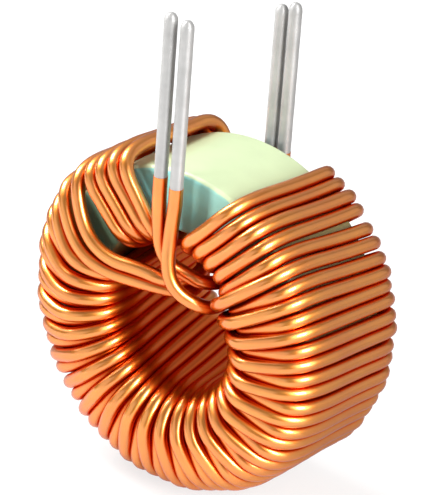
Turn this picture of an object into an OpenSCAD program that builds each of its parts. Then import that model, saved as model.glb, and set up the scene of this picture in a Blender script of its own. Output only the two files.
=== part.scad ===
// Toroidal inductor: a painted ring core wound with two enamelled copper wires side by side.
// The four lead ends are tinned and point up (+Z). The ring's axis runs along Y.

/* [Core] */
// Outer diameter of the ring core
core_od = 33; // [32:0.25:34.5]
// Diameter of the hole through the ring core
core_id = 19.8; // [19.6:0.1:20.6]
// Height of the core from face to face
core_h = 11.9; // [11.3:0.1:12.6]
// Rounding of the core's four edges
core_edge = 0.6; // [0.4:0.1:0.9]

/* [Wire] */
// Diameter of each wire over its enamel
wire_d = 1.46; // [1.34:0.02:1.5]
// Diameter of the bare copper inside the tin coat
bare_d = 1.18; // [1:0.02:1.2]

/* [Winding] */
// Number of turns of each wire
turns = 28; // [27:1:28]
// Angle of the first turn on the outside of the ring, from the leads
first_angle = 24.6; // [23:0.2:26]
// Angle that the turns spread over on the outside of the ring
spread_angle = 305.2; // [302:0.4:307]
// Angle that each turn moves on while it passes through the hole
bore_advance = 18; // [17:0.25:19]
// Lean of the wires across the outside of the ring
outside_lean = 3.5; // [2.5:0.25:4.5]
// Space between the wire and the outside of the core
outside_slack = 0.2; // [0.15:0.05:0.5]

/* [Leads] */
// Height of the front left lead's tip above the middle of the core
front_left_tip = 34.1; // [28:0.1:40]
// Height of the front right lead's tip above the middle of the core
front_right_tip = 33.9; // [28:0.1:40]
// Height of the rear left lead's tip above the middle of the core
rear_left_tip = 30.6; // [27:0.1:37]
// Height of the rear right lead's tip above the middle of the core
rear_right_tip = 31.3; // [27:0.1:37]
// Height above the middle of the core where the front left lead's tin coat starts
front_left_tin = 15.7; // [15:0.1:18]
// Height above the middle of the core where the front right lead's tin coat starts
front_right_tin = 15.1; // [15:0.1:18]
// Height above the middle of the core where the rear leads' tin coats start
rear_tin = 14; // [14:0.1:17]
// Diameter of the tin coat
tin_d = 1.4; // [1.34:0.02:1.44]
// Distance from the front leads to the middle of the core's height
front_lead_y = 8.4; // [8.2:0.1:8.8]
// Distance from the rear leads to the middle of the core's height
rear_lead_y = 7.9; // [7.7:0.1:8.3]
// Spacing of the front pair of leads
front_pair = 2.05; // [1.8:0.05:2.4]
// Spacing of the rear pair of leads
rear_pair = 1.65; // [1.6:0.05:2]

/* [Hidden] */

// Room round the bare end in its tin coat, solid tin above it, and the rounding of the tip
fit_gap = 0.02;
tin_cap = 0.5;
tip_edge = 0.3;

sides = 8;
last = turns - 1;
half = core_h / 2;
wire_r = wire_d / 2;

// How far the control points of a turn stand off the core and its wire's own line at the rear.
// Corner cutting pulls the finished wire inside them.
hole_room = 0.06;
lip_in = 0.39;
lip_out = 0.7;
face_out = 0.1;
corner_out = 0.75;
corner_bow = 0.3;

// Control radii and heights of a turn
hole_r = core_id / 2 - wire_r - hole_room;
lip_r = hole_r - lip_in;
face_r = (core_id + core_od) / 4;
rim_r = core_od / 2 + wire_r + outside_slack;
lip_y = half + wire_r + lip_out;
face_y = half + wire_r + face_out;
corner_y = half + wire_r + corner_out;
back_rim_y = 1.5;
middle_y = 0.5;

// At the front the wires bow out: shoulder, knee, bulge, mouth and throat of each turn
shoulder_back = 1;
shoulder_bow = 0.2;
knee_in = 1.05;
knee_out = 1.3;
bulge_out = 1.8;
mouth_back = 0.6;
mouth_out = 1.6;
throat_in = 0.34;
throat_back = 0.15;
shoulder_y = half - shoulder_back;
knee_y = half + wire_r + knee_out;
bulge_y = half + wire_r + bulge_out;
mouth_r = core_id / 2 + mouth_back;
mouth_y = half + wire_r + mouth_out;
throat_r = hole_r - throat_in;
throat_y = half - throat_back;

// Shares of the way round from the outer angle to the angle in the hole
rear_share = 0.4;
knee_share = 0.1;
mouth_share = 0.95;

// Wire B rides on wire A in the hole, one layer further in, and climbs over it at both mouths.
layer_drop = 0.864 * wire_d;
hole_step = 9.2;
hole_tuck = 4.2;
rear_tuck = 3.1;
rear_climb = 1.2;
bulge_climb = 0.8;
mouth_climb = 1.2;
throat_climb = 1.15;

// The third to fifth pairs reach further into the hole, and the last two lie flat on the front
reach_in = 0.5;
last_flat = 0.9;

// Low down on the left, the wires bow out at the rear, most at this turn
rear_bow = 0.7;
bow_turn = 18.5;
bow_turns = 2.5;

// Angles round the ring: wire B's step past wire A, and how the turns spread inside the hole
pair_step = 5.2;
spread_curve = 0.08;
inner_start = 47.5;
inner_spread = 254.5;
inner_curve = 5.75;

// Colours
core_paint = [0.86, 0.93, 0.66];
copper = [0.88, 0.45, 0.16];
tin = [0.82, 0.82, 0.80];

function unit(v) = v / norm(v);
function mix(a, b, f) = a + (b - a) * f;
function ease(a, b, x) = let (u = min(max((x - a) / (b - a), 0), 1)) u * u * (3 - 2 * u);
function odd(t) = t % 2 == 1 ? 1 : -1;

// A point at radius r and angle th round the ring, th measured from +Z towards +X
function at(r, y, th) = [r * sin(th), y, r * cos(th)];

// How far wire B climbs on to the second layer at the front and at the rear of the hole
function up_front(t) = t < 2 || t == last - 1 ? 0 : t == last ? 0.35 : 1 + 0.3 * exp(-pow((t - 3) / 1.5, 2));
function up_rear(k) = k == 1 || k == 2 ? 0 : 1;

// Angle of a turn at the front outer corner; s is 0 for wire A and 1 for wire B
function loose(t, s) = t == last - 2 ? 3.8 * s - 0.2 : t == last - 1 ? 2 : t == last ? 1 : 0;
function outer(t, s) = let (f = t / last, spread = (1 - spread_curve) * f + spread_curve * f * f)
    first_angle + spread_angle * spread + (pair_step + 0.1 * ease(8, 16, t)) * s + loose(t, s);

// Angle of a turn at the rear outer corner, where the third pair leaves a gap
function early(t) = t > 1 ? exp(-pow((t - 2) / 1.3, 2)) : 0;
function apart(t, s) = 2 * early(t) + 0.3 * sin(137 * t) - 0.3 * s;
function lean(t, s) = outside_lean
    * (t == last ? 0.17 - 0.1 * s : t == last - 1 ? 0.4 : t == last - 2 ? 1 - 0.5 * s : 1);
function back_outer(t, s) = outer(t, s) + lean(t, s) + (t < last - 3 ? apart(t, s) : 0);

// Angle of a turn at the front mouth of the hole
function even_inner(t) = let (f = (t - 2) / (last - 4))
    inner_start + inner_spread * f - inner_curve * f * f;
function first_inner(t) =
    t == 0 ? 10 : t == 1 ? 28 : t == 2 ? 46.4 : t == last - 1 ? 318.7 : t == last ? 338 : even_inner(t);
function inner(t, s) =
    first_inner(t) + s * (hole_step - hole_tuck * up_front(t)) + (t == last ? 1.2 * s : 0);

// Angle of turn k at the rear mouth of the hole; k = turns is where the finish leads come out
function first_rear(k) =
    k == 0 ? 12.5 : k == last - 1 ? 317 : k == last ? 329 : k == turns ? 344.2
        : first_inner(k - 1) + bore_advance;
function rear(k, s) =
    first_rear(k) + s * (hole_step - rear_tuck * up_rear(k)) + (k == last ? 1.5 * s : 0);

// The turns stand a little uneven off the outside, and the last few stand off most at the front
uneven = 0.08;
low_bow = 0.3;
proud_by = 0.2;
last_off = 0.8;
function proud(n) = n == 0 || n == 2 || n == 5 ? proud_by : 0;
function rim_out(t, s) =
    rim_r + uneven * (odd(t) + sin(50 * t)) + low_bow * exp(-pow((t - 13) / 5, 2)) + proud(2 * t + s);
function stand_off(t) = last_off * ease(last - 5, last - 2, t);

// Control points of one turn from the rear mouth, over the outside, back to the middle of the hole
function turn_points(t, s) =
    let (
        rim = rim_out(t, s),
        front_rim = rim + stand_off(t),
        front = outer(t, s),
        back = back_outer(t, s),
        rear_in = rear(t, s),
        front_in = inner(t, s),
        ur = up_rear(t) * s,
        uf = up_front(t) * s,
        reach = reach_in * early(t),
        bow = rear_bow * exp(-pow((t - bow_turn) / bow_turns, 2)),
        flat = t >= last - 1 ? last_flat : 0,
        bulge_share = t >= last - 1 ? 0.5 : 0.4 + 0.55 * ease(15, 21, t),
        middle_r = hole_r - layer_drop * s * (up_front(t) + up_rear(t + 1)) / 2
    )
    [
        at(lip_r - rear_climb * ur, lip_y + rear_climb * ur + bow, rear_in),
        at(face_r, face_y + rear_climb * ur + bow, mix(back, rear_in, rear_share)),
        at(rim + corner_bow, corner_y, back),
        at((rim + front_rim) / 2, back_rim_y, mix(back, front, rear_share)),
        at(front_rim + shoulder_bow, -shoulder_y, front),
        at(front_rim - knee_in, -knee_y, mix(front, front_in, knee_share)),
        at(face_r, -bulge_y + flat - bulge_climb * uf, mix(front, front_in, bulge_share)),
        at(mouth_r - reach, -mouth_y + flat - mouth_climb * uf, mix(front, front_in, mouth_share)),
        at(throat_r - throat_climb * uf - reach, -throat_y - bulge_climb * uf, front_in),
        at(middle_r - reach / 2, middle_y, (front_in + rear(t + 1, s)) / 2)
    ];

// Hand-laid route points follow the size of the hole and the height of the core
across = core_id / 19.8;
along = core_h / 11.9;
function lay(p) = [p.x * across, p.y * along, p.z * across];
function lay_all(list) = [for (p = list) lay(p)];

// Two turns before the last, the pair leaves the face loosely and crosses the mouth of the hole
cross_a = concat([at(12.6, -9.1, -63.5), at(8.8, -9.2, -61)], [
    [-3.2, -7.9, 4.0], [0.2, -5.9, 3.4], [0.8, -3.4, 3.5], [-1.6, -0.2, 4.2], [-4.4, 3.2, 4.8]]);
cross_b = concat([at(12.6, -8.8, -55), at(8.9, -9.2, -50)], [
    [-3.2, -8.4, 5.7], [-0.6, -7.3, 4.9], [1.3, -4.6, 5.2], [-0.6, -0.8, 5.6], [-3.2, 3.4, 5.6]]);
crossing = [cross_a, cross_b];

// The front leads come down and hook sideways into the hole
hook_a = [[-1.1, -8.2, 8.9], [-0.3, -7.5, 7.0], [1.1, -6.6, 6.15], [2.9, -6.2, 5.6],
    [3.8, -3.8, 5.2], [3.3, 0.4, 5.4], [2.4, 4.6, 6.4]];
hook_b = [[0.7, -9.2, 7.5], [1.8, -9.0, 5.3], [4.0, -7.7, 3.9], [4.4, -5.5, 3.2],
    [4.4, -1.8, 3.4], [4.3, 2.2, 4.4], [3.6, 5.8, 5.9]];
hooks = [hook_a, hook_b];

// The finish leads come out at the rear and turn up
rise = [[[-2.4, 8.2, 8.4]], [[-1.4, 9.3, 7.5]]];
rise_top = [[-0.5, 0, 12.5], [1.0, 0.4, 11.5]];

front_middle = -0.425;
rear_middle = 0.525;
front_x = [front_middle - front_pair / 2, front_middle + front_pair / 2];
rear_x = [rear_middle - rear_pair / 2, rear_middle + rear_pair / 2];
front_tin = [front_left_tin, front_right_tin];
front_tip = [front_left_tip, front_right_tip];
rear_tip = [rear_left_tip, rear_right_tip];
hook_z = [12.2, 11.3];
hook_in = [0.16, -0.22];
hook_out = 0.1;

// Above and below a coat's edge the lead runs straight, and the wire thins just inside the coat
straight = 1;
coat_lap = 0.12;

// The path stops short of the tip; the tin coat closes the end
function start_points(s) = concat([
    [front_x[s], -front_lead_y, front_tip[s] - tin_cap],
    [front_x[s], -front_lead_y, front_tin[s] + straight],
    [front_x[s], -front_lead_y, front_tin[s]],
    [front_x[s], -front_lead_y, front_tin[s] - coat_lap],
    [front_x[s], -front_lead_y, front_tin[s] - straight],
    [front_x[s] + hook_in[s], -front_lead_y - hook_out, hook_z[s]]], lay_all(hooks[s]));
function end_points(s) = concat(lay_all(rise[s]), [
    [rise_top[s].x, rear_lead_y + rise_top[s].y, rise_top[s].z],
    [rear_x[s], rear_lead_y, rear_tin - straight],
    [rear_x[s], rear_lead_y, rear_tin - coat_lap],
    [rear_x[s], rear_lead_y, rear_tin],
    [rear_x[s], rear_lead_y, rear_tin + straight],
    [rear_x[s], rear_lead_y, rear_tip[s] - tin_cap]]);

function first_n(list, n) = [for (i = [0 : n - 1]) list[i]];
function route(s) = concat(
    start_points(s),
    [for (t = [0 : last], p = t == last - 2
        ? concat(first_n(turn_points(t, s), 6), lay_all(crossing[s])) : turn_points(t, s)) p],
    end_points(s));

// One pass of corner cutting; the two end points stay
function soften(p) = [
    for (i = [0 : len(p) - 2], f = [0.25, 0.75])
        i == 0 && f == 0.25 ? p[0]
        : i == len(p) - 2 && f == 0.75 ? p[i + 1]
        : mix(p[i], p[i + 1], f)];

// Tangents and steadily carried normals along a path
function tangents(p) = let (n = len(p))
    [for (i = [0 : n - 1]) unit(p[min(i + 1, n - 1)] - p[max(i - 1, 0)])];
function square_to(v, t) = unit(v - (v * t) * t);
function normals(t) = let (n = len(t))
    [for (i = 0, v = square_to([1, 0, 0], t[0]); i < n;
        i = i + 1, v = square_to(v, t[min(i, n - 1)])) v];

// Inside a tin coat the wire is bare; elsewhere it carries its enamel
function ring_r(p, s) =
    abs(p.x) < core_id / 6 && p.z > (p.y < 0 ? front_tin[s] : rear_tin) - coat_lap ? bare_d / 2 : wire_r;

function rings(s) = let (p = soften(route(s)), t = tangents(p), n = normals(t))
    [for (i = [0 : len(p) - 1]) let (b = cross(t[i], n[i]), r = ring_r(p[i], s))
        [for (a = [0 : sides - 1]) p[i] + r * (cos(a * 360 / sides) * n[i] + sin(a * 360 / sides) * b)]];

rings_a = rings(0);
rings_b = rings(1);

// The lowest point of the winding sits on the ground
lift = -min([for (r = concat(rings_a, rings_b), q = r) q.z]);

module strand(rows) {
    n = len(rows);
    polyhedron(
        points = [for (r = rows, q = r) q],
        faces = concat(
            [[for (a = [0 : sides - 1]) a]],
            [for (i = [0 : n - 2], a = [0 : sides - 1]) let (b = (a + 1) % sides)
                [i * sides + a, (i + 1) * sides + a, (i + 1) * sides + b]],
            [for (i = [0 : n - 2], a = [0 : sides - 1]) let (b = (a + 1) % sides)
                [i * sides + a, (i + 1) * sides + b, i * sides + b]],
            [[for (a = [0 : sides - 1]) n * sides - 1 - a]]));
}

module core() {
    e = core_edge;
    r = core_id / 2;
    w = (core_od - core_id) / 2;
    color(core_paint)
    translate([0, 0, lift])
    rotate([90, 0, 0])
    rotate_extrude($fn = 128)
    translate([r, 0])
    union() {
        translate([e, -half]) square([w - 2 * e, core_h]);
        translate([0, e - half]) square([w, core_h - 2 * e]);
        for (x = [e, w - e], y = [e - half, half - e]) translate([x, y]) circle(r = e, $fn = 32);
    }
}

module wire_a() {
    color(copper) translate([0, 0, lift]) strand(rings_a);
}

module wire_b() {
    color(copper) translate([0, 0, lift]) strand(rings_b);
}

// A coat over a bare lead end, closed at the tip with its edge rounded
module coat(x, y, start, tip) {
    r = tin_d / 2;
    bore = bare_d / 2 + fit_gap;
    h = tip - start;
    e = tip_edge;
    color(tin)
    translate([x, y, lift + start])
    rotate_extrude($fn = 48)
    difference() {
        union() {
            square([r, h - e]);
            square([r - e, h]);
            translate([r - e, h - e]) circle(r = e, $fn = 32);
        }
        translate([-1, -1]) square([bore + 1, h - tin_cap + 1 + fit_gap]);
        translate([-1, -1]) square([1, h + 2]);
    }
}

module tin_front_left() {
    coat(front_x[0], -front_lead_y, front_left_tin, front_left_tip);
}

module tin_front_right() {
    coat(front_x[1], -front_lead_y, front_right_tin, front_right_tip);
}

module tin_rear_left() {
    coat(rear_x[0], rear_lead_y, rear_tin, rear_left_tip);
}

module tin_rear_right() {
    coat(rear_x[1], rear_lead_y, rear_tin, rear_right_tip);
}

core();
wire_a();
wire_b();
tin_front_left();
tin_front_right();
tin_rear_left();
tin_rear_right();
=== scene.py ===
"""A toroidal inductor

A painted ring core, wound with a pair of enamelled copper wires that end in four tinned leads.
"""

import math

import bmesh
import bpy
from mathutils import Matrix, Vector


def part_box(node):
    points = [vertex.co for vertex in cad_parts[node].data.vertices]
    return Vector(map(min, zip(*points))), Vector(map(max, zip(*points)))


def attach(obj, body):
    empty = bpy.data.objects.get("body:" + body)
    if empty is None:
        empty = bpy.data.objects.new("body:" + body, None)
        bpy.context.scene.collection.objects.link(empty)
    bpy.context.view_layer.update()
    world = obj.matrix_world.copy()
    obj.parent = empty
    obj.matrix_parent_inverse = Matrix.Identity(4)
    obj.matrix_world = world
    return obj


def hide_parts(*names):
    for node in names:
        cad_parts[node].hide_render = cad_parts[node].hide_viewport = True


bl_info = {
    "name": "Toroidal Inductor",
    "version": (1, 0, 0),
    "blender": (4, 5, 0),
    "location": "3D View > Sidebar > Inductor",
    "description": "Builds a wound ring-core inductor and a pale studio round it",
    "category": "Add Mesh",
}

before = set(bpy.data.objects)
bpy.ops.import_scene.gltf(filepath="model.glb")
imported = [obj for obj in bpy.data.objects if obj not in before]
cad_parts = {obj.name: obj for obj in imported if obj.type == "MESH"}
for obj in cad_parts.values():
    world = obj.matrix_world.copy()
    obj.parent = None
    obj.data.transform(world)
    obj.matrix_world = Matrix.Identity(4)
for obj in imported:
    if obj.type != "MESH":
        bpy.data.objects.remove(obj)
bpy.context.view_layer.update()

CORE_LOW, CORE_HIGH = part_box("core")
CENTRE = (CORE_LOW + CORE_HIGH) / 2
MM = 0.001


# ---------------------------------------------------------------- properties

class CoreSettings(bpy.types.PropertyGroup):
    """Sizes and paint of the ring core"""

    outer_diameter: bpy.props.FloatProperty(
        name="Outer Diameter", description="Diameter of the ring across its outside",
        default=CORE_HIGH.x - CORE_LOW.x, min=0.02, max=0.05, unit="LENGTH", precision=4)
    inner_diameter: bpy.props.FloatProperty(
        name="Hole Diameter", description="Diameter of the hole through the ring",
        default=19.8 * MM, min=0.01, max=0.03, unit="LENGTH", precision=4)
    height: bpy.props.FloatProperty(
        name="Height", description="Height of the ring from face to face",
        default=CORE_HIGH.y - CORE_LOW.y, min=0.005, max=0.02, unit="LENGTH", precision=4)
    edge: bpy.props.FloatProperty(
        name="Edge Rounding", description="Rounding of the ring's four edges",
        default=0.6 * MM, min=0.0001, max=0.001, unit="LENGTH", precision=4)
    rim_paint: bpy.props.FloatVectorProperty(
        name="Rim Paint", description="Paint on the outside and in the hole",
        default=(0.49, 0.58, 0.35), min=0, max=1, subtype="COLOR")
    face_paint: bpy.props.FloatVectorProperty(
        name="Face Paint", description="Paint on the two flat faces",
        default=(0.22, 0.60, 0.60), min=0, max=1, subtype="COLOR")
    # Greyer face paint, used towards +X and in random patches
    face_greyer: bpy.props.FloatVectorProperty(
        name="Worn Face Paint", description="Greyer paint towards one side of the faces",
        default=(0.23, 0.46, 0.39), min=0, max=1, subtype="COLOR")


class WireSettings(bpy.types.PropertyGroup):
    """Sizes and finish of the pair of winding wires"""

    diameter: bpy.props.FloatProperty(
        name="Wire Diameter", description="Diameter over the enamel",
        default=1.48 * MM, min=0.001, max=0.002, unit="LENGTH", precision=4)
    route_diameter: bpy.props.FloatProperty(
        name="Route Diameter", description="Diameter that the wires' route is laid out for",
        default=1.46 * MM, min=0.001, max=0.002, unit="LENGTH", precision=4)
    turns: bpy.props.IntProperty(
        name="Turns", description="Number of turns of each wire", default=28, min=27, max=28)
    first_angle: bpy.props.FloatProperty(
        name="First Turn", description="Angle of the first turn on the outside, from the leads",
        default=math.radians(24.6), min=0, max=1, unit="ROTATION")
    spread_angle: bpy.props.FloatProperty(
        name="Spread", description="Angle that the turns spread over on the outside",
        default=math.radians(305.2), min=4, max=6, unit="ROTATION")
    bore_advance: bpy.props.FloatProperty(
        name="Advance", description="Angle that a turn moves on as it passes through the hole",
        default=math.radians(18), min=0.2, max=0.4, unit="ROTATION")
    outside_lean: bpy.props.FloatProperty(
        name="Lean", description="Lean of the wires across the outside of the ring",
        default=math.radians(3.5), min=0, max=0.2, unit="ROTATION")
    outside_slack: bpy.props.FloatProperty(
        name="Slack", description="Space between the wire and the outside of the core",
        default=0.2 * MM, min=0, max=0.001, unit="LENGTH", precision=4)
    copper: bpy.props.FloatVectorProperty(
        name="Copper", description="Colour of the copper through its enamel",
        default=(0.97, 0.355, 0.036), min=0, max=1, subtype="COLOR")
    copper_dark: bpy.props.FloatVectorProperty(
        name="Dark Copper", description="Colour of the darker stretches of wire",
        default=(0.92, 0.29, 0.03), min=0, max=1, subtype="COLOR")
    # Painted shade: the deep red that the copper is coloured where the turns and the hole shade it
    copper_painted_shade: bpy.props.FloatVectorProperty(
        name="Groove Copper", description="Colour of the copper deep between the turns",
        default=(0.70, 0.075, 0.004), min=0, max=1, subtype="COLOR")
    smoothness: bpy.props.IntProperty(
        name="Smoothness", description="Steps between the route points of a wire",
        default=8, min=2, max=16)


class LeadSettings(bpy.types.PropertyGroup):
    """Sizes and finish of the four tinned lead ends"""

    front_tin: bpy.props.FloatVectorProperty(
        name="Front Tin", description="Heights above the core's middle where the front tin starts",
        default=(15.7 * MM, 15.1 * MM), size=2, unit="LENGTH", precision=4)
    rear_tin: bpy.props.FloatProperty(
        name="Rear Tin", description="Height above the core's middle where the rear tin starts",
        default=14 * MM, min=0.014, max=0.018, unit="LENGTH", precision=4)
    tin_diameter: bpy.props.FloatProperty(
        name="Tin Diameter", description="Diameter of a tinned lead",
        default=1.42 * MM, min=0.001, max=0.002, unit="LENGTH", precision=4)
    front_tips: bpy.props.FloatVectorProperty(
        name="Front Tips", description="Heights of the front leads' tips above the core's middle",
        default=(34.1 * MM, 33.9 * MM), size=2, unit="LENGTH", precision=4)
    rear_tips: bpy.props.FloatVectorProperty(
        name="Rear Tips", description="Heights of the rear leads' tips above the core's middle",
        default=(30.6 * MM, 31.3 * MM), size=2, unit="LENGTH", precision=4)
    front_side: bpy.props.FloatVectorProperty(
        name="Front Places", description="Sideways places of the front leads",
        default=(-1.45 * MM, 0.6 * MM), size=2, unit="LENGTH", precision=4)
    rear_side: bpy.props.FloatVectorProperty(
        name="Rear Places", description="Sideways places of the rear leads",
        default=(-0.3 * MM, 1.35 * MM), size=2, unit="LENGTH", precision=4)
    front_depth: bpy.props.FloatProperty(
        name="Front Depth", description="Distance from the front leads to the core's middle",
        default=8.4 * MM, min=0.007, max=0.01, unit="LENGTH", precision=4)
    rear_depth: bpy.props.FloatProperty(
        name="Rear Depth", description="Distance from the rear leads to the core's middle",
        default=7.9 * MM, min=0.007, max=0.01, unit="LENGTH", precision=4)
    tin: bpy.props.FloatVectorProperty(
        name="Tin", description="Colour of the tin", default=(0.50, 0.495, 0.485),
        min=0, max=1, subtype="COLOR")


class StageSettings(bpy.types.PropertyGroup):
    """Floor, lamps and camera"""

    floor_colour: bpy.props.FloatVectorProperty(
        name="Floor", description="Colour of the floor", default=(0.9, 0.9, 0.9),
        min=0, max=1, subtype="COLOR")
    floor_near: bpy.props.FloatVectorProperty(
        name="Floor in Front", description="Colour that the floor throws back in front",
        default=(0.50, 0.50, 0.50), min=0, max=1, subtype="COLOR")
    # Painted shade: the floor is made dark behind the part where the part sees it
    floor_far_shade: bpy.props.FloatVectorProperty(
        name="Floor Behind", description="Colour that the floor throws back behind",
        default=(0.06, 0.06, 0.06), min=0, max=1, subtype="COLOR")
    azimuth: bpy.props.FloatProperty(
        name="Azimuth", description="Camera's angle round the part from the front",
        default=math.radians(36.92), unit="ROTATION")
    elevation: bpy.props.FloatProperty(
        name="Elevation", description="Camera's angle above the floor",
        default=math.radians(26.88), unit="ROTATION")
    roll: bpy.props.FloatProperty(
        name="Roll", description="Camera's roll about its own axis",
        default=math.radians(4.33), unit="ROTATION")
    distance: bpy.props.FloatProperty(
        name="Distance", description="Distance from the camera to the point it looks at",
        default=0.3534, min=0.1, max=2, unit="LENGTH")
    lens: bpy.props.FloatProperty(
        name="Lens", description="Focal length of the camera", default=254.8,
        min=50, max=500, unit="CAMERA")
    aim: bpy.props.FloatVectorProperty(
        name="Aim", description="Point that the camera looks at, from the middle of the core",
        default=(-0.16 * MM, 0.0, 6.28 * MM), subtype="XYZ", unit="LENGTH")
    surroundings: bpy.props.FloatVectorProperty(
        name="Surroundings", description="Light that comes from all round",
        default=(0.04, 0.04, 0.041), min=0, max=1, subtype="COLOR")
    in_metal: bpy.props.FloatProperty(
        name="Background in Metal", description="How strongly metal shows the pale background",
        default=0.22, min=0, max=1, subtype="FACTOR")


# ---------------------------------------------------------------- route of a wire

def ease(low, high, x):
    """Smooth step from 0 at low to 1 at high"""
    u = min(max((x - low) / (high - low), 0.0), 1.0)
    return u * u * (3 - 2 * u)


def mix(a, b, share):
    return a + (b - a) * share


def at(radius, y, degrees):
    """Point round the ring, the angle measured from the leads towards +X"""
    turn = math.radians(degrees)
    return Vector((radius * math.sin(turn), y, radius * math.cos(turn)))


class Route:
    """Route points of one wire in millimetres, about the middle of the core"""

    # How far each point of a turn stands off the hole's wall, the faces and the outside
    hole_room, lip_in, lip_out, face_out = 0.06, 0.39, 0.7, 0.1
    corner_out, shoulder_back, knee_out, bulge_out = 0.75, 1, 1.3, 1.8
    mouth_back, mouth_out, throat_in, throat_back = 0.6, 1.6, 0.34, 0.15
    layer_share = 0.864

    # What wire B adds on its second layer, and how a turn runs between its points
    hole_step, hole_tuck, rear_tuck = 9.2, 4.2, 3.1
    rear_climb, bulge_climb, mouth_climb, throat_climb = 1.2, 0.8, 1.2, 1.15
    rear_share, knee_share, mouth_share = 0.4, 0.1, 0.95
    corner_bow, shoulder_bow, knee_in = 0.3, 0.2, 1.05
    back_rim_y, middle_y = 1.5, 0.5
    reach_in, last_flat, rear_bow = 0.5, 0.9, 0.7

    # Unevenness of the turns on the outside: each turn, the lowest ones and the proud ones
    uneven, low_bow, proud_by, last_off = 0.08, 0.3, 0.2, 0.8

    def __init__(self, core, wire, leads, strand):
        self.s = strand
        self.leads = leads
        self.turns = wire.turns
        self.last = wire.turns - 1
        self.first_angle = math.degrees(wire.first_angle)
        self.spread = math.degrees(wire.spread_angle)
        self.advance = math.degrees(wire.bore_advance)
        self.lean = math.degrees(wire.outside_lean)
        half, radius = core.height / 2 / MM, wire.route_diameter / 2 / MM
        bore, outside = core.inner_diameter / 2 / MM, core.outer_diameter / 2 / MM
        self.hole_r = bore - radius - self.hole_room
        self.lip_r = self.hole_r - self.lip_in
        self.lip_y = half + radius + self.lip_out
        self.face_r = (bore + outside) / 2
        self.face_y = half + radius + self.face_out
        self.rim_r = outside + radius + wire.outside_slack / MM
        self.corner_y = half + radius + self.corner_out
        self.shoulder_y = half - self.shoulder_back
        self.knee_y = half + radius + self.knee_out
        self.bulge_y = half + radius + self.bulge_out
        self.mouth_r = bore + self.mouth_back
        self.mouth_y = half + radius + self.mouth_out
        self.throat_r = self.hole_r - self.throat_in
        self.throat_y = half - self.throat_back
        self.layer_drop = self.layer_share * 2 * radius

    def up_front(self, t):
        """Share of its second layer that wire B has climbed at the front mouth of turn t"""
        if t < 2 or t == self.last - 1:
            return 0.0
        return 0.35 if t == self.last else 1 + 0.3 * math.exp(-(((t - 3) / 1.5) ** 2))

    def up_rear(self, k):
        """The same at the rear mouth before turn k"""
        return 0.0 if k in (1, 2) else 1.0

    def outer(self, t):
        f = t / self.last
        loose = {self.last - 2: 3.8 * self.s - 0.2, self.last - 1: 2.0, self.last: 1.0}.get(t, 0.0)
        spread = self.spread * (0.92 * f + 0.08 * f * f)
        pair_step = 5.2 + 0.1 * ease(8, 16, t)
        return self.first_angle + spread + pair_step * self.s + loose

    def early(self, t):
        return math.exp(-(((t - 2) / 1.3) ** 2)) if t > 1 else 0.0

    def back_outer(self, t):
        apart = 2 * self.early(t) + 0.3 * math.sin(math.radians(137 * t)) - 0.3 * self.s
        less = {self.last: 0.17 - 0.1 * self.s, self.last - 1: 0.4, self.last - 2: 1 - 0.5 * self.s}
        return self.outer(t) + self.lean * less.get(t, 1.0) + (apart if t < self.last - 3 else 0.0)

    def inner(self, t, s=None):
        s = self.s if s is None else s
        f = (t - 2) / (self.last - 4)
        even = 47.5 + 254.5 * f - 5.75 * f * f
        first = {0: 10.0, 1: 28.0, 2: 46.4, self.last - 1: 318.7, self.last: 338.0}.get(t, even)
        last_shift = 1.2 * s if t == self.last else 0.0
        return first + s * (self.hole_step - self.hole_tuck * self.up_front(t)) + last_shift

    def rear(self, k):
        set_by_hand = {0: 12.5, self.last - 1: 317.0, self.last: 329.0, self.turns: 344.2}
        first = set_by_hand[k] if k in set_by_hand else self.inner(k - 1, 0) + self.advance
        shift = 1.5 * self.s if k == self.last else 0.0
        return first + self.s * (self.hole_step - self.rear_tuck * self.up_rear(k)) + shift

    def rim_out(self, t):
        side = 1 if t % 2 else -1
        slow = (self.uneven * math.sin(math.radians(50 * t))
                + self.low_bow * math.exp(-(((t - 13) / 5) ** 2)))
        proud = self.proud_by if 2 * t + self.s in (0, 2, 5) else 0.0
        return self.rim_r + self.uneven * side + slow + proud

    def turn(self, t):
        """From the rear mouth of the hole over the outside, back to the middle of the hole"""
        s, rim = self.s, self.rim_out(t)
        front_rim = rim + self.last_off * ease(self.last - 5, self.last - 2, t)
        front = self.outer(t)
        back = self.back_outer(t)
        rear_in, front_in = self.rear(t), self.inner(t)
        ur, uf = self.up_rear(t) * s, self.up_front(t) * s
        reach = self.reach_in * self.early(t)
        bow = self.rear_bow * math.exp(-(((t - 18.5) / 2.5) ** 2))
        flat = self.last_flat if t >= self.last - 1 else 0.0
        bulge_share = 0.5 if t >= self.last - 1 else 0.4 + 0.55 * ease(15, 21, t)
        middle = self.hole_r - self.layer_drop * s * (self.up_front(t) + self.up_rear(t + 1)) / 2
        return [
            at(self.lip_r - self.rear_climb * ur, self.lip_y + self.rear_climb * ur + bow, rear_in),
            at(self.face_r, self.face_y + self.rear_climb * ur + bow,
               mix(back, rear_in, self.rear_share)),
            at(rim + self.corner_bow, self.corner_y, back),
            at((rim + front_rim) / 2, self.back_rim_y, mix(back, front, self.rear_share)),
            at(front_rim + self.shoulder_bow, -self.shoulder_y, front),
            at(front_rim - self.knee_in, -self.knee_y, mix(front, front_in, self.knee_share)),
            at(self.face_r, -self.bulge_y + flat - self.bulge_climb * uf,
               mix(front, front_in, bulge_share)),
            at(self.mouth_r - reach, -self.mouth_y + flat - self.mouth_climb * uf,
               mix(front, front_in, self.mouth_share)),
            at(self.throat_r - self.throat_climb * uf - reach,
               -self.throat_y - self.bulge_climb * uf, front_in),
            at(middle - reach / 2, self.middle_y, (front_in + self.rear(t + 1)) / 2),
        ]

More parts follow.
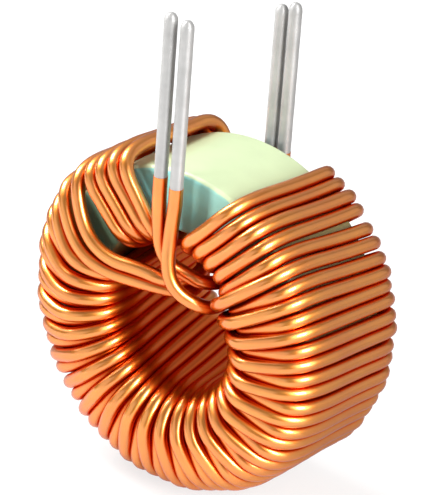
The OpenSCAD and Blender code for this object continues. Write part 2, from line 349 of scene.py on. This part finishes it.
    def crossing(self):
        """The loose pair that crosses the front mouth of the hole"""
        if self.s == 0:
            return [at(12.6, -9.1, -63.5), at(8.8, -9.2, -61)] + [Vector(p) for p in (
                (-3.2, -7.9, 4.0), (0.2, -5.9, 3.4), (0.8, -3.4, 3.5), (-1.6, -0.2, 4.2),
                (-4.4, 3.2, 4.8))]
        return [at(12.6, -8.8, -55), at(8.9, -9.2, -50)] + [Vector(p) for p in (
            (-3.2, -8.4, 5.7), (-0.6, -7.3, 4.9), (1.3, -4.6, 5.2), (-0.6, -0.8, 5.6),
            (-3.2, 3.4, 5.6))]

    def start(self):
        """A front lead, down from its tip and round its hook into the hole"""
        x, y = self.leads.front_side[self.s] / MM, -self.leads.front_depth / MM
        top = self.leads.front_tin[self.s] / MM
        down = [(x, y, top + 1), (x, y, top), (x, y, top - 1)]
        if self.s == 0:
            hook = [(x + 0.16, y - 0.1, 12.2), (-1.1, -8.2, 8.9), (-0.3, -7.5, 7.0),
                    (1.1, -6.6, 6.15), (2.9, -6.2, 5.6), (3.8, -3.8, 5.2), (3.3, 0.4, 5.4),
                    (2.4, 4.6, 6.4)]
        else:
            hook = [(x - 0.22, y - 0.1, 11.3), (0.7, -9.2, 7.5), (1.8, -9.0, 5.3),
                    (4.0, -7.7, 3.9), (4.4, -5.5, 3.2), (4.4, -1.8, 3.4), (4.3, 2.2, 4.4),
                    (3.6, 5.8, 5.9)]
        return [Vector(p) for p in down + hook]

    def end(self):
        """A finish lead, out of the hole at the rear and up"""
        x, y = self.leads.rear_side[self.s] / MM, self.leads.rear_depth / MM
        top = self.leads.rear_tin / MM
        rise = [[(-2.4, 8.2, 8.4), (-0.5, y, 12.5)], [(-1.4, 9.3, 7.5), (1.0, y + 0.4, 11.5)]]
        up = [(x, y, top - 1), (x, y, top), (x, y, top + 1)]
        return [Vector(p) for p in rise[self.s] + up]

    def points(self):
        route = self.start()
        for t in range(self.turns):
            if t == self.last - 2:
                route += self.turn(t)[:6] + self.crossing()
            else:
                route += self.turn(t)
        return route + self.end()


def direction(azimuth, elevation):
    """Unit vector away from the part, the azimuth measured from the front towards +X"""
    level = math.cos(elevation)
    return Vector((math.sin(azimuth) * level, -math.cos(azimuth) * level, math.sin(elevation)))


def placed(points):
    """Millimetres about the middle of the core to metres in the frame"""
    return [CENTRE + p * MM for p in points]


# ---------------------------------------------------------------- mesh helpers

def add_piece(name, mesh, slot, *nodes):
    """Links a finished piece that rides on the part and stands for CAD nodes"""
    piece = bpy.data.objects.new(name, mesh)
    bpy.context.scene.collection.objects.link(piece)
    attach(piece, "root")
    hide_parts(*nodes)


def rod(name, points, radii, smoothness):
    """Mesh of a round rod along a curve, with a UV map along and round it"""
    curve = bpy.data.curves.new(name, "CURVE")
    curve.dimensions = "3D"
    curve.twist_mode = "MINIMUM"
    curve.bevel_depth = 1.0
    curve.bevel_resolution = 5
    curve.use_fill_caps = True
    spline = curve.splines.new("NURBS")
    spline.points.add(len(points) - 1)
    for point, place, radius in zip(spline.points, points, radii):
        point.co = (*place, 1.0)
        point.radius = radius
    spline.order_u = 3
    spline.use_endpoint_u = True
    spline.resolution_u = smoothness
    shape = bpy.data.objects.new(name, curve)
    bpy.context.scene.collection.objects.link(shape)
    bpy.context.view_layer.update()
    mesh = bpy.data.meshes.new_from_object(
        shape.evaluated_get(bpy.context.evaluated_depsgraph_get()))
    bpy.data.objects.remove(shape)
    bpy.data.curves.remove(curve)
    mesh.name = name
    mesh.materials.clear()
    shade_smooth(mesh)
    return mesh


def shade_smooth(mesh):
    for face in mesh.polygons:
        face.use_smooth = True


# ---------------------------------------------------------------- materials

def new_material(name):
    material = bpy.data.materials.new(name)
    material.use_nodes = True
    tree = material.node_tree
    shader = tree.nodes["Principled BSDF"]
    return material, tree, shader


def ramp(tree, source, low, high):
    """Maps source from low..high to 0..1"""
    made = tree.nodes.new("ShaderNodeMapRange")
    made.clamp = True
    made.inputs["From Min"].default_value = low
    made.inputs["From Max"].default_value = high
    tree.links.new(source, made.inputs["Value"])
    return made.outputs["Result"]


def colour_mix(tree, share, first, second):
    made = tree.nodes.new("ShaderNodeMix")
    made.data_type = "RGBA"
    tree.links.new(share, made.inputs["Factor"])
    for socket, value in ((6, first), (7, second)):
        if isinstance(value, bpy.types.NodeSocket):
            tree.links.new(value, made.inputs[socket])
        else:
            made.inputs[socket].default_value = (*value, 1.0)
    return made.outputs[2]


def math_node(tree, operation, *values):
    made = tree.nodes.new("ShaderNodeMath")
    made.operation = operation
    for socket, value in zip(made.inputs, values):
        if isinstance(value, bpy.types.NodeSocket):
            tree.links.new(value, socket)
        else:
            socket.default_value = value
    return made.outputs["Value"]


def noise(tree, vector, scale, detail=3.0, roughness=0.5):
    made = tree.nodes.new("ShaderNodeTexNoise")
    made.inputs["Scale"].default_value = scale
    made.inputs["Detail"].default_value = detail
    made.inputs["Roughness"].default_value = roughness
    tree.links.new(vector, made.inputs["Vector"])
    return made.outputs["Fac"]


def bump(tree, shader, height, strength, distance):
    made = tree.nodes.new("ShaderNodeBump")
    made.inputs["Strength"].default_value = strength
    made.inputs["Distance"].default_value = distance
    tree.links.new(height, made.inputs["Height"])
    tree.links.new(made.outputs["Normal"], shader.inputs["Normal"])


def place_axes(tree, coords):
    """Sockets for X, Y and Z of a place on the part"""
    split = tree.nodes.new("ShaderNodeSeparateXYZ")
    tree.links.new(coords.outputs["Object"], split.inputs["Vector"])
    return split.outputs["X"], split.outputs["Y"], split.outputs["Z"]


def above_middle(tree, z):
    """Height above the core's middle"""
    return math_node(tree, "SUBTRACT", z, CENTRE.z)


def varied_roughness(tree, shader, source, low, high):
    rough = tree.nodes.new("ShaderNodeMapRange")
    rough.inputs["To Min"].default_value = low
    rough.inputs["To Max"].default_value = high
    tree.links.new(source, rough.inputs["Value"])
    tree.links.new(rough.outputs["Result"], shader.inputs["Roughness"])


def stretched(tree, coords, scale):
    made = tree.nodes.new("ShaderNodeMapping")
    made.inputs["Scale"].default_value = scale
    tree.links.new(coords, made.inputs["Vector"])
    return made.outputs["Vector"]


def out_of_hole(tree, coords):
    """0 deep in the hole through the ring, 1 at its mouths and outside it; it masks the painted
    shade in the hole
    """
    x, y, z = place_axes(tree, coords)
    height = above_middle(tree, z)
    off_axis = math_node(tree, "POWER", math_node(
        tree, "ADD", math_node(tree, "MULTIPLY", x, x),
        math_node(tree, "MULTIPLY", height, height)), 0.5)
    depth = math_node(tree, "ABSOLUTE", y)
    return math_node(tree, "MAXIMUM", ramp(tree, off_axis, 9.0 * MM, 10.4 * MM),
                     ramp(tree, depth, 5.5 * MM, 8.0 * MM))


def enamelled_copper(wire):
    """Bright copper under clear enamel, with painted shade: deep red and without coat between the
    turns and in the hole
    """
    material, tree, shader = new_material("enamelled_copper")
    coords = tree.nodes.new("ShaderNodeTexCoord")
    patches = noise(tree, coords.outputs["Object"], 260, 3)
    shader.inputs["Metallic"].default_value = 1.0
    shader.inputs["Coat Roughness"].default_value = 0.15
    shader.inputs["Coat IOR"].default_value = 1.85
    shader.inputs["Coat Tint"].default_value = (1.0, 0.95, 0.88, 1.0)
    shader.inputs["Specular Tint"].default_value = (1.0, 0.35, 0.12, 1.0)
    base = colour_mix(tree, ramp(tree, patches, 0.35, 0.7), wire.copper, wire.copper_dark)
    # Painted shade: ambient occlusion turns the copper deep red between the turns
    painted_shade_ao = tree.nodes.new("ShaderNodeAmbientOcclusion")
    painted_shade_ao.samples = 8
    painted_shade_ao.inputs["Distance"].default_value = 1.4 * MM
    in_light = ramp(tree, painted_shade_ao.outputs["AO"], 0.35, 0.85)
    # Painted shade: the copper deep in the hole is darker and redder
    least_light_in_hole = 0.2
    in_light = math_node(tree, "MULTIPLY", in_light, math_node(
        tree, "MULTIPLY_ADD", out_of_hole(tree, coords), 1 - least_light_in_hole, least_light_in_hole))
    tree.links.new(colour_mix(tree, in_light, wire.copper_painted_shade, base),
                   shader.inputs["Base Color"])
    # Painted shade: the coat and its sheen fade where the copper is shaded
    tree.links.new(in_light, shader.inputs["Coat Weight"])
    varied_roughness(tree, shader, noise(tree, coords.outputs["Object"], 900, 2), 0.28, 0.36)
    lines = noise(tree, stretched(tree, coords.outputs["UV"], (900, 9, 1)), 1.0, 4)
    bump(tree, shader, lines, 0.05, 0.04 * MM)
    return material


def solder_tin(leads):
    """Dull tin that was dipped on, brushed along the lead"""
    material, tree, shader = new_material("tin")
    coords = tree.nodes.new("ShaderNodeTexCoord")
    shader.inputs["Metallic"].default_value = 0.55
    cloudy = noise(tree, coords.outputs["Object"], 500, 3)
    dull = tuple(0.82 * c for c in leads.tin)
    tree.links.new(colour_mix(tree, ramp(tree, cloudy, 0.35, 0.75), leads.tin, dull),
                   shader.inputs["Base Color"])
    varied_roughness(tree, shader, cloudy, 0.48, 0.56)
    along = tree.nodes.new("ShaderNodeTangent")
    along.direction_type = "UV_MAP"
    tree.links.new(along.outputs["Tangent"], shader.inputs["Tangent"])
    shader.inputs["Anisotropic"].default_value = 0.6
    flow = noise(tree, stretched(tree, coords.outputs["Object"], (1, 1, 0.25)), 1400, 2)
    bump(tree, shader, flow, 0.1, 0.05 * MM)
    return material


def under_winding(tree, x, z):
    """1 where the turns cover the ring, 0 on the bare stretch under the leads; it masks the painted
    shade on the core
    """
    angle = math_node(tree, "ARCTAN2", x, above_middle(tree, z))
    off_middle = math_node(tree, "ABSOLUTE", math_node(tree, "ADD", angle, math.radians(8)))
    return ramp(tree, off_middle, math.radians(30), math.radians(34))


def painted_shade_under_turns(tree, paint):
    """Paint darkened as painted shade, for the shade between and under the turns"""
    made = tree.nodes.new("ShaderNodeMix")
    made.data_type, made.blend_type = "RGBA", "MULTIPLY"
    made.inputs["Factor"].default_value = 1.0
    tree.links.new(paint, made.inputs[6])
    made.inputs[7].default_value = (0.5, 0.36, 0.24, 1.0)
    return made.outputs[2]


def core_paint(core):
    """Satin paint, pale yellow-green on the rim and blue-green on the faces"""
    material, tree, shader = new_material("core_paint")
    coords = tree.nodes.new("ShaderNodeTexCoord")
    x, y, z = place_axes(tree, coords)
    depth = math_node(tree, "ABSOLUTE", y)
    uneven = noise(tree, coords.outputs["Object"], 700, 2)
    wobble = math_node(tree, "MULTIPLY_ADD", uneven, 0.12 * MM, depth)
    edge = core.height / 2 - 0.1 * core.edge
    on_face = ramp(tree, wobble, edge, edge + 0.06 * MM)
    cloudy = ramp(tree, noise(tree, coords.outputs["Object"], 350, 4), 0.3, 0.75)
    rim = colour_mix(tree, cloudy, core.rim_paint, tuple(0.93 * c for c in core.rim_paint))
    # The faces turn greyer towards +X
    across = ramp(tree, x, -3 * MM, 4 * MM)
    face = colour_mix(tree, across, core.face_paint, core.face_greyer)
    face = colour_mix(tree, ramp(tree, uneven, 0.3, 0.75), face, core.face_greyer)
    paint = colour_mix(tree, on_face, rim, face)
    # Painted shade: the paint is darkened where the turns cover the core
    tree.links.new(colour_mix(tree, under_winding(tree, x, z), paint, painted_shade_under_turns(tree, paint)),
                   shader.inputs["Base Color"])
    shader.inputs["Roughness"].default_value = 0.42
    shader.inputs["Coat Weight"].default_value = 0.25
    shader.inputs["Coat Roughness"].default_value = 0.2
    bump(tree, shader, noise(tree, coords.outputs["Object"], 1600, 3), 0.2, 0.06 * MM)
    return material


def seen(tree, in_metal):
    """Share of the pale background that a ray shows, all of it straight on and less in metal"""
    path = tree.nodes.new("ShaderNodeLightPath")
    mirrored = math_node(
        tree, "MAXIMUM", path.outputs["Is Glossy Ray"], path.outputs["Is Transmission Ray"])
    return math_node(tree, "MULTIPLY_ADD", mirrored, in_metal, path.outputs["Is Camera Ray"])


def white_room_floor(colour, near, far, in_metal):
    """Pale floor that is seen close to white, and throws less light on the part"""
    material, tree, shader = new_material("pale_floor")
    y = place_axes(tree, tree.nodes.new("ShaderNodeTexCoord"))[1]
    # Painted shade: what the part sees of the floor darkens from front to back, which shades the
    # hole and the rear turns
    dim = colour_mix(tree, ramp(tree, y, -5 * MM, 12 * MM), near, far)
    shader.inputs["Roughness"].default_value = 0.9
    shader.inputs["Specular IOR Level"].default_value = 0.0
    glow = tree.nodes.new("ShaderNodeEmission")
    shown = seen(tree, in_metal)
    tree.links.new(colour_mix(tree, shown, dim, colour), shader.inputs["Base Color"])
    blend = tree.nodes.new("ShaderNodeMixShader")
    tree.links.new(math_node(tree, "MULTIPLY", shown, 0.7), blend.inputs["Fac"])
    tree.links.new(shader.outputs["BSDF"], blend.inputs[1])
    tree.links.new(glow.outputs["Emission"], blend.inputs[2])
    out = tree.nodes["Material Output"]
    tree.links.new(blend.outputs["Shader"], out.inputs["Surface"])
    return material


# ---------------------------------------------------------------- operators

class INDUCTOR_OT_ring_core(bpy.types.Operator):
    """Builds the painted ring core"""

    bl_idname = "inductor.ring_core"
    bl_label = "Ring Core"

    def execute(self, context):
        core = context.scene.inductor_core
        inner, outer = core.inner_diameter / 2, core.outer_diameter / 2
        half = core.height / 2
        ring = bmesh.new()
        corners = [ring.verts.new((x, y, 0)) for x, y in (
            (inner, -half), (outer, -half), (outer, half), (inner, half))]
        edges = [ring.edges.new((corners[i], corners[(i + 1) % 4])) for i in range(4)]
        bmesh.ops.spin(ring, geom=corners + edges, cent=(0, 0, 0), axis=(0, 1, 0),
                       angle=2 * math.pi, steps=192, use_merge=True, use_duplicate=False)
        bmesh.ops.remove_doubles(ring, verts=ring.verts, dist=1e-6)
        sharp = [e for e in ring.edges if e.is_manifold and e.calc_face_angle() > 1.0]
        bmesh.ops.bevel(ring, geom=sharp, offset=core.edge, segments=6, profile=0.5,
                        affect="EDGES", material=-1)
        bmesh.ops.recalc_face_normals(ring, faces=ring.faces)
        bmesh.ops.translate(ring, verts=ring.verts, vec=CENTRE)
        mesh = bpy.data.meshes.new("ring_core")
        ring.to_mesh(mesh)
        ring.free()
        shade_smooth(mesh)
        add_piece("ring_core", mesh, "core_paint", "core")
        mesh.materials.append(core_paint(core))
        return {"FINISHED"}


class INDUCTOR_OT_winding(bpy.types.Operator):
    """Winds the pair of enamelled wires round the core"""

    bl_idname = "inductor.winding"
    bl_label = "Winding"

    def execute(self, context):
        scene = context.scene
        wire = scene.inductor_wire
        copper = enamelled_copper(wire)
        for strand, node_name in enumerate(("wire_a", "wire_b")):
            route = Route(scene.inductor_core, wire, scene.inductor_leads, strand)
            points = placed(route.points())
            radii = [wire.diameter / 2] * len(points)
            name = "winding_" + node_name[-1]
            mesh = rod(name, points, radii, wire.smoothness)
            add_piece(name, mesh, "enamelled_copper", node_name)
            mesh.materials.append(copper)
        return {"FINISHED"}


class INDUCTOR_OT_tinned_ends(bpy.types.Operator):
    """Builds the four tinned lead ends"""

    bl_idname = "inductor.tinned_ends"
    bl_label = "Tinned Ends"

    smoothness = 8
    lengths = 14
    foot = ((-0.1, 0.93), (0, 0.98), (0.3, 1.0))
    point = ((0.9, 1.0), (0.6, 0.95), (0.35, 0.8), (0.15, 0.6), (0.03, 0.4), (0, 0.1))

    def profile(self, x, low, tip):
        """Heights up a lead, with its width at each as a share of the full one"""
        heights = [low + up * MM for up, width in self.foot]
        widths = [width for up, width in self.foot]
        for i in range(1, self.lengths):
            heights.append(low + (tip - low) * i / self.lengths)
            widths.append(0.985 + 0.012 * math.sin(2.1 * i + 7 * x / MM))
        for back, width in self.point:
            heights.append(tip - back * MM)
            widths.append(width)
        return heights, widths

    def execute(self, context):
        leads = context.scene.inductor_leads
        tin = solder_tin(leads)
        places = []
        for i, side in enumerate(("left", "right")):
            places.append(("front_" + side, leads.front_side[i], -leads.front_depth,
                           leads.front_tin[i], leads.front_tips[i]))
            places.append(("rear_" + side, leads.rear_side[i], leads.rear_depth,
                           leads.rear_tin, leads.rear_tips[i]))
        radius = leads.tin_diameter / 2
        for name, x, y, low, tip in places:
            heights, widths = self.profile(x, low, tip)
            points = [CENTRE + Vector((x, y, z)) for z in heights]
            mesh = rod("lead_" + name, points, [radius * w for w in widths], self.smoothness)
            add_piece("lead_" + name, mesh, "tin", "tin_" + name)
            mesh.materials.append(tin)
        return {"FINISHED"}


class INDUCTOR_OT_stage(bpy.types.Operator):
    """Sets up the floor, the lamps and the camera"""

    bl_idname = "inductor.stage"
    bl_label = "Stage"

    def execute(self, context):
        scene = context.scene
        stage = scene.inductor_stage
        self.add_floor(scene, stage)
        self.add_lamps(scene)
        self.add_world(scene, stage)
        self.add_camera(scene, stage)
        scene.view_settings.view_transform = "Standard"
        return {"FINISHED"}

    def add_floor(self, scene, stage):
        sheet = bmesh.new()
        bmesh.ops.create_grid(sheet, x_segments=1, y_segments=1, size=1.5)
        mesh = bpy.data.meshes.new("floor")
        sheet.to_mesh(mesh)
        sheet.free()
        floor = bpy.data.objects.new("floor", mesh)
        scene.collection.objects.link(floor)
        mesh.materials.append(white_room_floor(
            stage.floor_colour, stage.floor_near, stage.floor_far_shade, stage.in_metal))

    # Name, azimuth and elevation in degrees, distance, width and height in metres, and watts.
    # Each heart is the brighter middle of a wide lamp, and lifts the highlights on the wire
    lamps = (
        ("key_lamp", -33, 13, 0.60, 0.13, 0.13, 3.6),
        ("left_lamp", -88, 45, 0.50, 0.42, 0.55, 1.0),
        ("left_heart", -88, 45, 0.48, 0.18, 0.24, 2.4),
        ("right_lamp", 76, 28, 0.50, 0.48, 0.58, 1.2),
        ("right_heart", 76, 28, 0.48, 0.18, 0.26, 2.3),
        ("top_lamp", 180, 80, 0.60, 0.50, 0.50, 0.25),
        ("front_fill", -18, 15, 0.60, 0.80, 0.50, 0.85),
        ("side_fill", 135, 18, 0.60, 0.60, 0.50, 0.3),
        ("rear_fill", -143, 40, 0.60, 0.80, 0.40, 0.2),
    )

    def add_lamps(self, scene):
        for name, azimuth, elevation, distance, wide, tall, power in self.lamps:
            away = direction(math.radians(azimuth), math.radians(elevation))
            light = bpy.data.lights.new(name, "AREA")
            light.shape = "RECTANGLE"
            light.size, light.size_y = wide, tall
            light.energy = power
            lamp = bpy.data.objects.new(name, light)
            lamp.location = CENTRE + away * distance
            lamp.rotation_euler = (-away).to_track_quat("-Z", "Y").to_euler()
            # The key lamp casts the leads' shadows, and would glare in the rear turns
            lamp.visible_glossy = name != "key_lamp"
            scene.collection.objects.link(lamp)

    def add_world(self, scene, stage):
        """Grey surroundings that the camera sees as white"""
        world = bpy.data.worlds.new("studio")
        world.use_nodes = True
        tree = world.node_tree
        tree.nodes.clear()
        out = tree.nodes.new("ShaderNodeOutputWorld")
        pick = tree.nodes.new("ShaderNodeMixShader")
        plain = tree.nodes.new("ShaderNodeBackground")
        plain.inputs["Color"].default_value = (*stage.surroundings, 1)
        white = tree.nodes.new("ShaderNodeBackground")
        white.inputs["Color"].default_value = (1, 1, 1, 1)
        tree.links.new(seen(tree, stage.in_metal), pick.inputs["Fac"])
        tree.links.new(plain.outputs["Background"], pick.inputs[1])
        tree.links.new(white.outputs["Background"], pick.inputs[2])
        tree.links.new(pick.outputs["Shader"], out.inputs["Surface"])
        scene.world = world

    def add_camera(self, scene, stage):
        back = direction(stage.azimuth, stage.elevation)
        lens = bpy.data.cameras.new("camera")
        lens.lens = stage.lens
        lens.sensor_fit = "AUTO"
        lens.clip_start, lens.clip_end = 0.01, 10
        camera = bpy.data.objects.new("camera", lens)
        facing = (-back).to_track_quat("-Z", "Y").to_matrix()
        camera.rotation_euler = (facing @ Matrix.Rotation(stage.roll, 3, "Z")).to_euler()
        camera.location = CENTRE + Vector(stage.aim) + back * stage.distance
        scene.collection.objects.link(camera)
        scene.camera = camera


# ---------------------------------------------------------------- panel and run

class INDUCTOR_PT_panel(bpy.types.Panel):
    """Lists the inductor's pieces in the sidebar"""

    bl_idname = "INDUCTOR_PT_panel"
    bl_label = "Toroidal Inductor"
    bl_space_type = "VIEW_3D"
    bl_region_type = "UI"
    bl_category = "Inductor"

    def draw(self, context):
        scene = context.scene
        for title, settings, operators in (
            ("Core", scene.inductor_core, ("inductor.ring_core",)),
            ("Winding", scene.inductor_wire, ("inductor.winding",)),
            ("Leads", scene.inductor_leads, ("inductor.tinned_ends",)),
            ("Stage", scene.inductor_stage, ("inductor.stage",)),
        ):
            box = self.layout.box()
            box.label(text=title)
            for key in settings.__annotations__:
                box.prop(settings, key)
            for name in operators:
                box.operator(name)


CLASSES = (
    CoreSettings,
    WireSettings,
    LeadSettings,
    StageSettings,
    INDUCTOR_OT_ring_core,
    INDUCTOR_OT_winding,
    INDUCTOR_OT_tinned_ends,
    INDUCTOR_OT_stage,
    INDUCTOR_PT_panel,
)

SETTINGS = {
    "inductor_core": CoreSettings,
    "inductor_wire": WireSettings,
    "inductor_leads": LeadSettings,
    "inductor_stage": StageSettings,
}


def register():
    for cls in CLASSES:
        bpy.utils.register_class(cls)
    for name, group in SETTINGS.items():
        setattr(bpy.types.Scene, name, bpy.props.PointerProperty(type=group))


def unregister():
    for name in SETTINGS:
        delattr(bpy.types.Scene, name)
    for cls in reversed(CLASSES):
        bpy.utils.unregister_class(cls)


def main():
    register()
    bpy.ops.inductor.ring_core()
    bpy.ops.inductor.winding()
    bpy.ops.inductor.tinned_ends()
    bpy.ops.inductor.stage()


if __name__ == "__main__":
    main()
